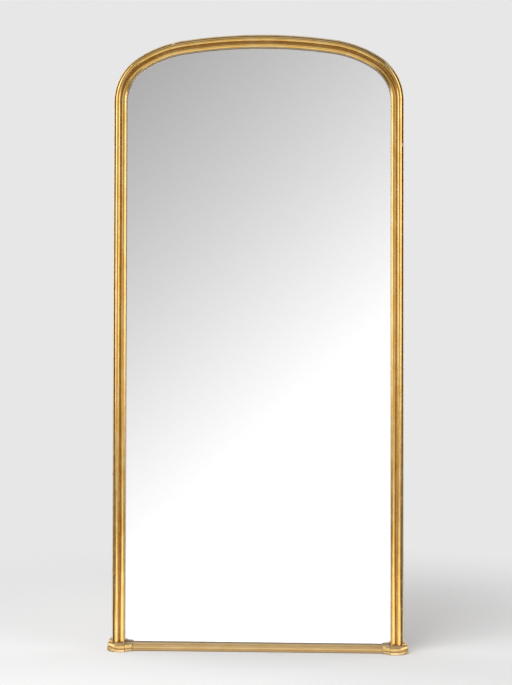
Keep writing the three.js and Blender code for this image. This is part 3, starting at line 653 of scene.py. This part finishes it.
    # what is left of the burnish
    dull = add(tree, "Math", {0: worn, 1: 0.4}, operation="MULTIPLY")[0]
    for share in (1.6 * matt, dirt_and_shade, gone, dust):
        dull = add(tree, "Math", {0: dull, 1: share}, operation="MAXIMUM")[0]
    metal = add(tree, "Math", {0: 1.0, 1: dull}, operation="SUBTRACT")[0]
    metal = add(tree, "Math", {0: rubbed_and_painted_dark, 1: -0.3, 2: metal}, operation="MULTIPLY_ADD")[0]
    rough = add(tree, "Math", {0: dull, 1: 0.35, 2: 0.15}, operation="MULTIPLY_ADD")[0]
    rough = add(tree, "Math", {0: rubbed_and_painted_dark, 1: 0.12, 2: rough}, operation="MULTIPLY_ADD")[0]
    rough = add(tree, "Math", {0: leaf, 1: 0.08, 2: rough}, operation="MULTIPLY_ADD")[0]

    # relief: slack in the gesso, then burnishing streaks, then pits
    soft = noise(run, 24, 2.0, (1.0, 0.5, 1))
    bump = add(tree, "Bump", {"Height": soft, "Strength": 0.2, "Distance": 0.9 * MM})[0]
    fine = noise(run, 1.6, 3.0, (1.0, 0.06, 1))
    pits = noise(place, 1.1, 2.0)
    for height_map, strength, depth, sunk in (
        (fine, 0.15, 0.12 * MM, False), (pits, 0.15, 0.10 * MM, False), (gone, 0.5, 0.4 * MM, True),
    ):
        settings = {"Height": height_map, "Strength": strength, "Distance": depth, "Normal": bump}
        bump = add(tree, "Bump", settings, invert=sunk)[0]

    shader = add(
        tree, "BsdfPrincipled",
        {"Base Color": colour, "Metallic": metal, "Roughness": rough, "Normal": bump},
    )
    add(tree, "OutputMaterial", {"Surface": shader[0]})
    return made


burnished_gold = gilding_material("burnished_water_gilding", True)
section = reeded_section()


# Two straight lengths, from the plinths to the spring of the arch
for side, sign in (("right", 1), ("left", -1)):
    outline = [(sign * (SIGHT_HALF + u), MOULDING_BACK - h, MOULDING_FOOT) for u, h in section]
    length = SPRING - JOINT / 2 - MOULDING_FOOT
    stile = draw_section(f"gilt_stile_{side}", outline)
    steps = math.ceil(length / STILE_STEP)
    for k in range(steps):
        bpy.ops.mesh.extrude_region_move(TRANSFORM_OT_translate={"value": (0, 0, length / steps)})
    close_up(stile)
    store_run(stile, arch_place)
    stile.data.materials.append(burnished_gold)
    finish_moulding(stile, f"moulding_stile_{side}")

# Five curved lengths butt end to end round the arch
LENGTHS = [
    ("shoulder_right", 0, 45),
    ("haunch_right", 45, 74.5),
    ("crown", 74.5, 105.5),
    ("haunch_left", 105.5, 135),
    ("shoulder_left", 135, 180),
]
for name, first, last in LENGTHS:
    first, last = math.radians(first), math.radians(last)
    parts = [(cx, cz, r, max(first, a), min(last, b)) for cx, cz, r, a, b in ARCS]
    parts = [part for part in parts if part[4] - part[3] > 1e-6]
    cx, cz, r, a, b = parts[0]
    a += JOINT / 2 / r
    outline = []
    for u, h in section:
        radius = r - WIDTH + u
        end_x, end_z = cx + radius * math.cos(a), SPRING + cz + radius * math.sin(a)
        outline.append((end_x, MOULDING_BACK - h, end_z))
    arch = draw_section(f"gilt_{name}", outline)
    for k, (cx, cz, r, start, end) in enumerate(parts):
        start = a if k == 0 else start
        end = end - JOINT / 2 / r if k == len(parts) - 1 else end
        steps = math.ceil(r * (end - start) / STEP_ALONG)
        centre = (cx, 0, SPRING + cz)
        bpy.ops.mesh.spin(steps=steps, angle=end - start, center=centre, axis=(0, 1, 0))
    close_up(arch)
    store_run(arch, arch_place)
    arch.data.materials.append(burnished_gold)
    finish_moulding(arch, f"moulding_{name}")

# The base rail is a short moulding of its own, cut between the plinths: a flat fillet at the foot,
# a fat torus and a thin top member, gilt like the stiles but never burnished as high.
RAIL_LOW, RAIL_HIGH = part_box("base_rail_moulding")
rail_section = [
    (0.0, 0.0),
    (0.0, 22.0 * MM),
    (0.6 * MM, 22.8 * MM),
    (1.6 * MM, 23.0 * MM),
    (5.4 * MM, 23.0 * MM),
    (6.0 * MM, 22.4 * MM),
    *arc_points((6.0 * MM, 21.0 * MM), (20.0 * MM, 18.0 * MM), 2.6 * MM, 16),
    (20.5 * MM, 13.0 * MM),
    *arc_points((21.0 * MM, 14.0 * MM), (26.0 * MM, 10.0 * MM), 1.0 * MM, 6),
    (26.0 * MM, 0.0),
]
outline = [(RAIL_LOW.x, MOULDING_BACK - h, RAIL_LOW.z + z) for z, h in rail_section]
rail = draw_section("gilt_base_rail", outline)
length = RAIL_HIGH.x - RAIL_LOW.x
steps = math.ceil(length / STILE_STEP)
for k in range(steps):
    bpy.ops.mesh.extrude_region_move(TRANSFORM_OT_translate={"value": (length / steps, 0, 0)})
close_up(rail)


def rail_place(co):
    return RAIL_HIGH.z - co.z, co.x


store_run(rail, rail_place)
TORUS_FOOT = 6 * MM
TORUS_HEIGHT = 14 * MM
for vertex in rail.data.vertices:
    torus = (vertex.co.z - RAIL_LOW.z - TORUS_FOOT) / TORUS_HEIGHT
    least = PLAIN_EDGE if torus > 0 else 0.1
    bulge = math.sin(math.pi * min(max(torus, 0), 1))
    rail.data.attributes["crown"].data[vertex.index].value = max(least, bulge)
rail.data.materials.append(gilding_material("matt_water_gilding", True, 0.3))
finish_moulding(rail, "base_rail_moulding")


# Plinth blocks, caps and returns are carved pine with the same gilding, laid on oil size and so a
# little duller. Their corners are eased by the gesso and rubbed by brooms and feet.
oil_gold = gilding_material("oil_gilding_on_carved_pine", False, 0.15)


CARVED_EASE = 0.7 * MM


def eased_copy(node, name, material, ease, segments=2):
    """A copy of a CAD node with its doubles merged and its corners eased, seated on the frame."""
    deselect_all()
    piece = frame["nodes"][node].copy()
    piece.data = piece.data.copy()
    piece.name = name
    piece.data.name = name
    bpy.context.scene.collection.objects.link(piece)
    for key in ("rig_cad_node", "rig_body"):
        del piece[key]
    piece.select_set(True)
    bpy.context.view_layer.objects.active = piece
    bpy.ops.object.mode_set(mode="EDIT")
    bpy.ops.mesh.select_all(action="SELECT")
    bpy.ops.mesh.remove_doubles(threshold=2e-5)
    if ease:
        bpy.ops.mesh.dissolve_limited(angle_limit=math.radians(0.5))
    bpy.ops.object.mode_set(mode="OBJECT")
    if ease:
        corners = piece.modifiers.new("eased", "BEVEL")
        corners.width = ease
        corners.segments = segments
        corners.limit_method = "ANGLE"
        corners.angle_limit = math.radians(40)
        corners.harden_normals = False
        bpy.ops.object.modifier_apply(modifier="eased")
    bpy.ops.object.shade_smooth_by_angle(angle=math.radians(32))
    piece.data.materials.clear()
    piece.data.materials.append(material)
    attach(piece, "root")
    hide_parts(node)
    return piece


for side in ("right", "left"):
    for member in ("block", "cap", "return"):
        node = f"plinth_{member}_{side}"
        eased_copy(node, f"gilt_{node}", oil_gold, CARVED_EASE, 3)


# The plate is 6 mm glass, silvered behind. The metal coat lies on the back face of the glass, and
# the backing sheet behind it carries the same coat in front and red-lead paint at the back.
plate_glass = bpy.data.materials.new("polished_plate_glass")
tree = bare_tree(plate_glass)
clear = {"Base Color": srgb("#FDFEFE"), "Roughness": 0.0, "IOR": 1.52, "Transmission Weight": 1.0}
shader = add(tree, "BsdfPrincipled", clear)
add(tree, "OutputMaterial", {"Surface": shader[0]})

silver = bpy.data.materials.new("silver_coat")
tree = bare_tree(silver)
place = add(tree, "TexCoord")["Object"]
SPECKS = [(0.3695, 1.5514), (0.2785, 1.3646), (-0.0268, 0.6756), (0.2651, 1.0473)]
SPECK_RADIUS = 1.6 * MM
flat = add(tree, "Mapping", {"Vector": place, "Scale": (1, 0, 1)})[0]
edge_noise = add(tree, "TexNoise", {"Vector": place, "Scale": 1 / (2 * MM), "Detail": 2.0})["Fac"]
blemish = 0.0
for x, z in SPECKS:
    gap = add(tree, "VectorMath", {0: flat, 1: (x, 0, z)}, operation="DISTANCE")["Value"]
    gap = add(tree, "Math", {0: edge_noise, 1: 1.4 * MM, 2: gap}, operation="MULTIPLY_ADD")[0]
    here = add(
        tree, "MapRange",
        {"Value": gap, "From Min": SPECK_RADIUS, "From Max": SPECK_RADIUS * 0.5, "To Max": 0.8},
        interpolation_type="SMOOTHSTEP",
    )[0]
    blemish = add(tree, "Math", {0: blemish, 1: here}, operation="MAXIMUM")[0]
colour = add(tree, "Mix", {0: blemish, 6: srgb("#F6F5F6"), 7: srgb("#6E6A62")}, data_type="RGBA")[2]
metal = add(tree, "Math", {0: 1.0, 1: blemish}, operation="SUBTRACT")[0]
rough = add(tree, "Math", {0: blemish, 1: 0.4}, operation="MULTIPLY")[0]
shader = add(tree, "BsdfPrincipled", {"Base Color": colour, "Metallic": metal, "Roughness": rough})
add(tree, "OutputMaterial", {"Surface": shader[0]})

backing_paint = bpy.data.materials.new("red_lead_backing_paint")
tree = bare_tree(backing_paint)
place = add(tree, "TexCoord")["Object"]
strokes = add(tree, "Mapping", {"Vector": place, "Scale": (1 / (3 * MM), 1 / MM, 1 / (90 * MM))})[0]
strokes = add(tree, "TexNoise", {"Vector": strokes, "Scale": 1.0, "Detail": 4.0})["Fac"]
colour = add(tree, "Mix", {0: strokes, 6: srgb("#5B2A20"), 7: srgb("#7A3B2C")}, data_type="RGBA")[2]
bump = add(tree, "Bump", {"Height": strokes, "Strength": 0.4, "Distance": 0.2 * MM})[0]
shader = add(tree, "BsdfPrincipled", {"Base Color": colour, "Roughness": 0.6, "Normal": bump})
add(tree, "OutputMaterial", {"Surface": shader[0]})

plate = eased_copy("glass_plate", "glass_plate_silvered", plate_glass, 0)
plate.data.materials.append(silver)
for face in plate.data.polygons:
    face.use_smooth = False
    if face.normal.y > 0.5:
        face.material_index = 1

coat = eased_copy("silvering", "silvering_sheet", silver, 0)
BREATH = 0.1 * MM  # the sheet keeps this far off the glass, so that their faces don't share a plane
front_of_coat = min(vertex.co.y for vertex in coat.data.vertices)
for vertex in coat.data.vertices:
    if vertex.co.y < front_of_coat + BREATH:
        vertex.co.y = front_of_coat + BREATH
coat.data.materials.append(backing_paint)
for face in coat.data.polygons:
    face.use_smooth = False
    if face.normal.y > 0.5:
        face.material_index = 1


# The carcass, the panelled back, the slips and the glue blocks are deal, sawn, planed and left
# bare. It has browned unevenly, and each piece has its grain along its length. The outer sides of
# the carcass were brushed with ochre to meet the gilding.
def deal_material(name, grain_turn, tone, washed=False):
    """Bare deal, its grain turned by grain_turn degrees from upright in the mirror's plane."""
    made = bpy.data.materials.new(name)
    tree = bare_tree(made)
    place = add(tree, "TexCoord")["Object"]
    grain_way = (0, math.radians(grain_turn), 0)
    start = (tone * 3.1, tone * 1.7, tone)  # so that no two deals have the same figure
    turned = add(tree, "Mapping", {"Vector": place, "Rotation": grain_way, "Location": start})[0]

    def grain(across_mm, along_mm, detail):
        scale = (1 / (across_mm * MM), 1 / (across_mm * MM), 1 / (along_mm * MM))
        mapped = add(tree, "Mapping", {"Vector": turned, "Scale": scale})[0]
        return add(tree, "TexNoise", {"Vector": mapped, "Scale": 1.0, "Detail": detail})["Fac"]

    # growth rings, 5 mm apart, drawn out along the board and bent by a slow wander
    wander = grain(60, 400, 2.0)
    rings = add(tree, "Mapping", {"Vector": turned, "Scale": (1.0, 0.55, 0.02)})[0]
    rings = add(tree, "VectorMath", {0: rings, 1: (1, 1, 1)}, operation="DOT_PRODUCT")["Value"]
    rings = add(tree, "Math", {0: wander, 1: 0.075, 2: rings}, operation="MULTIPLY_ADD")[0]
    rings = add(tree, "Math", {0: rings, 1: 2 * math.pi / (5 * MM)}, operation="MULTIPLY")[0]
    rings = add(tree, "Math", {0: rings}, operation="SINE")[0]
    rings = add(
        tree, "MapRange",
        {"Value": rings, "From Min": -0.4, "From Max": 1.0},
        interpolation_type="SMOOTHSTEP",
    )[0]
    fibre = grain(0.9, 45, 3.0)
    colour = add(
        tree, "Mix", {0: rings, 6: srgb("#A9814F"), 7: srgb("#7E5A30")}, data_type="RGBA",
    )[2]
    colour = add(
        tree, "Mix",
        {
            0: add(
                tree, "MapRange",
                {"Value": fibre, "From Min": 0.35, "From Max": 0.75, "To Max": 0.45},
                interpolation_type="SMOOTHSTEP",
            )[0],
            6: colour,
            7: srgb("#5E4122"),
        },
        data_type="RGBA",
    )[2]

    # knots, a few to a metre
    knots = add(tree, "Mapping", {"Vector": turned, "Scale": (1 / 0.16, 1 / 0.16, 1 / 0.42)})[0]
    knots = add(tree, "TexVoronoi", {"Vector": knots, "Scale": 1.0, "Randomness": 1.0})["Distance"]
    knot = add(
        tree, "MapRange",
        {"Value": knots, "From Min": 0.075, "From Max": 0.035, "To Max": 0.8},
        interpolation_type="SMOOTHSTEP",
    )[0]
    colour = add(tree, "Mix", {0: knot, 6: colour, 7: srgb("#3F2814")}, data_type="RGBA")[2]

    # age: brown patches, and grey dust on what faces up
    age = add(tree, "TexNoise", {"Vector": place, "Scale": 1 / 0.18, "Detail": 5.0})["Fac"]
    colour = add(
        tree, "Mix",
        {
            0: add(
                tree, "MapRange",
                {"Value": age, "From Min": 0.40, "From Max": 0.72, "To Max": 0.55},
                interpolation_type="SMOOTHSTEP",
            )[0],
            6: colour,
            7: srgb("#553A20"),
        },
        data_type="RGBA",
    )[2]
    facing = add(tree, "SeparateXYZ", {0: add(tree, "NewGeometry")["Normal"]})
    dust = add(
        tree, "MapRange",
        {"Value": facing["Z"], "From Min": 0.2, "From Max": 0.9, "To Max": 0.5},
        interpolation_type="SMOOTHSTEP",
    )[0]
    colour = add(tree, "Mix", {0: dust, 6: colour, 7: srgb("#8F8676")}, data_type="RGBA")[2]
    if washed:
        outward = add(tree, "Math", {0: facing["X"]}, operation="ABSOLUTE")[0]
        outward = add(tree, "Math", {0: outward, 1: facing["Z"]}, operation="MAXIMUM")[0]
        brushed = add(tree, "Math", {0: age, 1: 0.35, 2: outward}, operation="MULTIPLY_ADD")[0]
        wash = add(
            tree, "MapRange",
            {"Value": brushed, "From Min": 0.72, "From Max": 0.95, "To Max": 0.85},
            interpolation_type="SMOOTHSTEP",
        )[0]
        colour = add(tree, "Mix", {0: wash, 6: colour, 7: srgb("#A9752F")}, data_type="RGBA")[2]

    # surface: raised late wood and the ripple of the saw across the grain
    saw = add(tree, "Mapping", {"Vector": turned, "Scale": (30, 30, 1 / (3.5 * MM))})[0]
    saw = add(tree, "TexNoise", {"Vector": saw, "Scale": 1.0, "Detail": 1.0})["Fac"]
    bump = add(tree, "Bump", {"Height": rings, "Strength": 0.30, "Distance": 0.25 * MM})[0]
    for height_map, strength, depth in ((fibre, 0.35, 0.15 * MM), (saw, 0.25, 0.20 * MM)):
        settings = {"Height": height_map, "Strength": strength, "Distance": depth, "Normal": bump}
        bump = add(tree, "Bump", settings)[0]
    rough = add(tree, "Math", {0: fibre, 1: 0.2, 2: 0.62}, operation="MULTIPLY_ADD")[0]
    shader = add(tree, "BsdfPrincipled", {"Base Color": colour, "Roughness": rough, "Normal": bump})
    add(tree, "OutputMaterial", {"Surface": shader[0]})
    return made


upright_deal = deal_material("deal_upright", 0, 0.0)
cross_deal = deal_material("deal_crosswise", 90, 1.0)
panel_deal = deal_material("deal_panel", 0, 2.0)
washed_deal = deal_material("deal_upright_washed", 0, 3.0, washed=True)
washed_cross = deal_material("deal_crosswise_washed", 90, 4.0, washed=True)
washed_slant = {
    "right": deal_material("deal_slant_right_washed", -32, 5.0, washed=True),
    "left": deal_material("deal_slant_left_washed", 32, 6.0, washed=True),
}
PLANED = 0.6 * MM

eased_copy("carcass_bottom_rail", "deal_bottom_rail", cross_deal, PLANED)
eased_copy("carcass_crown", "deal_crown", washed_cross, PLANED)
for rail_name in ("bottom_rail", "cross_rail_1", "cross_rail_2", "top_rail"):
    eased_copy(f"back_{rail_name}", f"deal_back_{rail_name}", cross_deal, PLANED)
for number in (1, 2, 3):
    muntin = f"back_muntin_{number}"
    eased_copy(muntin, f"deal_{muntin}", upright_deal, PLANED)
for side in ("right", "left"):
    eased_copy(f"carcass_stile_{side}", f"deal_stile_{side}", washed_deal, PLANED)
    shoulder = f"shoulder_{side}"
    slant = washed_slant[side]
    eased_copy(f"carcass_{shoulder}", f"deal_{shoulder}", slant, PLANED)
    eased_copy(f"back_stile_{side}", f"deal_back_stile_{side}", upright_deal, PLANED)
    eased_copy(f"setting_slip_{side}", f"deal_slip_{side}", cross_deal, PLANED)
    for number in (1, 2, 3):
        panel = f"panel_{side}_{number}"
        eased_copy(f"back_{panel}", f"deal_{panel}", panel_deal, PLANED)
        block = f"glue_block_{side}_{number}"
        eased_copy(block, f"deal_{block}", upright_deal, PLANED)


# The hanging plates are wrought iron, cut and filed by hand and blacked, and have rusted a little.
wrought_iron = bpy.data.materials.new("blacked_wrought_iron")
tree = bare_tree(wrought_iron)
place = add(tree, "TexCoord")["Object"]
hammer = add(tree, "TexNoise", {"Vector": place, "Scale": 1 / (7 * MM), "Detail": 2.0})["Fac"]
flakes = add(tree, "TexNoise", {"Vector": place, "Scale": 1 / (1.2 * MM), "Detail": 4.0})["Fac"]
rust = add(tree, "TexNoise", {"Vector": place, "Scale": 1 / (5 * MM), "Detail": 5.0})["Fac"]
rust = add(
    tree, "MapRange",
    {"Value": rust, "From Min": 0.52, "From Max": 0.68, "To Max": 0.8},
    interpolation_type="SMOOTHSTEP",
)[0]
colour = add(tree, "Mix", {0: flakes, 6: srgb("#2B2826"), 7: srgb("#4A4542")}, data_type="RGBA")[2]
colour = add(tree, "Mix", {0: rust, 6: colour, 7: srgb("#6B3A1F")}, data_type="RGBA")[2]
metal = add(tree, "Math", {0: rust, 1: -0.8, 2: 0.9}, operation="MULTIPLY_ADD")[0]
rough = add(tree, "Math", {0: rust, 1: 0.3, 2: 0.45}, operation="MULTIPLY_ADD")[0]
bump = add(tree, "Bump", {"Height": hammer, "Strength": 0.5, "Distance": 0.4 * MM})[0]
settings = {"Height": flakes, "Strength": 0.4, "Distance": 0.1 * MM, "Normal": bump}
bump = add(tree, "Bump", settings)[0]
settings = {"Base Color": colour, "Metallic": metal, "Roughness": rough, "Normal": bump}
shader = add(tree, "BsdfPrincipled", settings)
add(tree, "OutputMaterial", {"Surface": shader[0]})
for side in ("right", "left"):
    eased_copy(f"hanging_plate_{side}", f"iron_plate_{side}", wrought_iron, 0.35 * MM)


# The screws are slotted steel with countersunk heads, turned and dull with age. One is modelled
# from its profile, spun round and slotted, and every other one is a copy of it.
screw_steel = bpy.data.materials.new("dull_turned_steel")
tree = bare_tree(screw_steel)
place = add(tree, "TexCoord")["Object"]
tarnish = add(tree, "TexNoise", {"Vector": place, "Scale": 1 / (1.5 * MM), "Detail": 4.0})["Fac"]
colour = add(tree, "Mix", {0: tarnish, 6: srgb("#8C877F"), 7: srgb("#5A4A3A")}, data_type="RGBA")[2]
rough = add(tree, "Math", {0: tarnish, 1: 0.35, 2: 0.25}, operation="MULTIPLY_ADD")[0]
bump = add(tree, "Bump", {"Height": tarnish, "Strength": 0.3, "Distance": 0.05 * MM})[0]
settings = {"Base Color": colour, "Metallic": 0.85, "Roughness": rough, "Normal": bump}
shader = add(tree, "BsdfPrincipled", settings)
add(tree, "OutputMaterial", {"Surface": shader[0]})

HEAD_RADIUS = 3.4 * MM
SHANK_RADIUS = 1.7 * MM
HEAD_DEPTH = 2 * MM
POINT = 4 * MM
SLOT_WIDTH = 0.9 * MM
SLOT_DEPTH = 1.1 * MM


def make_screw(name, length):
    """A screw whose head is centred on the origin and whose shank runs towards -Y."""
    profile = [
        (0.0, 0.0),
        (HEAD_RADIUS - 0.2 * MM, 0.0),
        (HEAD_RADIUS, -0.25 * MM),
        (SHANK_RADIUS, -HEAD_DEPTH),
        (SHANK_RADIUS, POINT - length),
        (0.3 * MM, -length),
        (0.0, -length),
    ]
    deselect_all()
    bpy.ops.mesh.primitive_plane_add(size=MM)
    piece = bpy.context.object
    piece.name = name
    bpy.ops.object.mode_set(mode="EDIT")
    bpy.ops.mesh.select_all(action="SELECT")
    bpy.ops.mesh.merge(type="CENTER")
    for (x1, y1), (x2, y2) in zip(profile, profile[1:]):
        bpy.ops.mesh.extrude_region_move(TRANSFORM_OT_translate={"value": (x2 - x1, y2 - y1, 0)})
    bpy.ops.mesh.select_all(action="SELECT")
    bpy.ops.mesh.spin(steps=24, angle=2 * math.pi, center=(0, 0, 0), axis=(0, 1, 0))
    close_up(piece)
    deselect_all()
    blade_size = (4 * HEAD_RADIUS, 2 * SLOT_DEPTH, SLOT_WIDTH)
    bpy.ops.mesh.primitive_cube_add(size=1, location=(0, 0, 0), scale=blade_size)
    blade = bpy.context.object
    bpy.ops.object.transform_apply(location=True, rotation=True, scale=True)
    slot_cut = piece.modifiers.new("slot", "BOOLEAN")
    slot_cut.operation = "DIFFERENCE"
    slot_cut.solver = "EXACT"
    slot_cut.object = blade
    deselect_all()
    piece.select_set(True)
    bpy.context.view_layer.objects.active = piece
    bpy.ops.object.modifier_apply(modifier="slot")
    bpy.data.objects.remove(blade)
    bpy.ops.object.shade_smooth_by_angle(angle=math.radians(30))
    piece.data.materials.append(screw_steel)
    return piece


SLOT_TURN = 37  # degrees from one screw's slot to the next one's, as no two are driven alike
patterns = {}
for index, node in enumerate(sorted(n for n in frame["nodes"] if "screw" in n)):
    low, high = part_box(node)
    length = round(high.y - low.y, 4)
    if length not in patterns:
        patterns[length] = make_screw(f"screw_pattern_{len(patterns)}", length)
    screw = patterns[length].copy()
    screw.data = patterns[length].data.copy()
    screw.name = f"steel_{node}"
    screw.data.name = screw.name
    bpy.context.scene.collection.objects.link(screw)
    turn = Matrix.Rotation(math.radians(SLOT_TURN * index), 4, "Y")
    head = ((low.x + high.x) / 2, high.y, (low.z + high.z) / 2)
    screw.data.transform(Matrix.Translation(head) @ turn)
    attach(screw, "root")
    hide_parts(node)
for pattern in patterns.values():
    bpy.data.objects.remove(pattern)
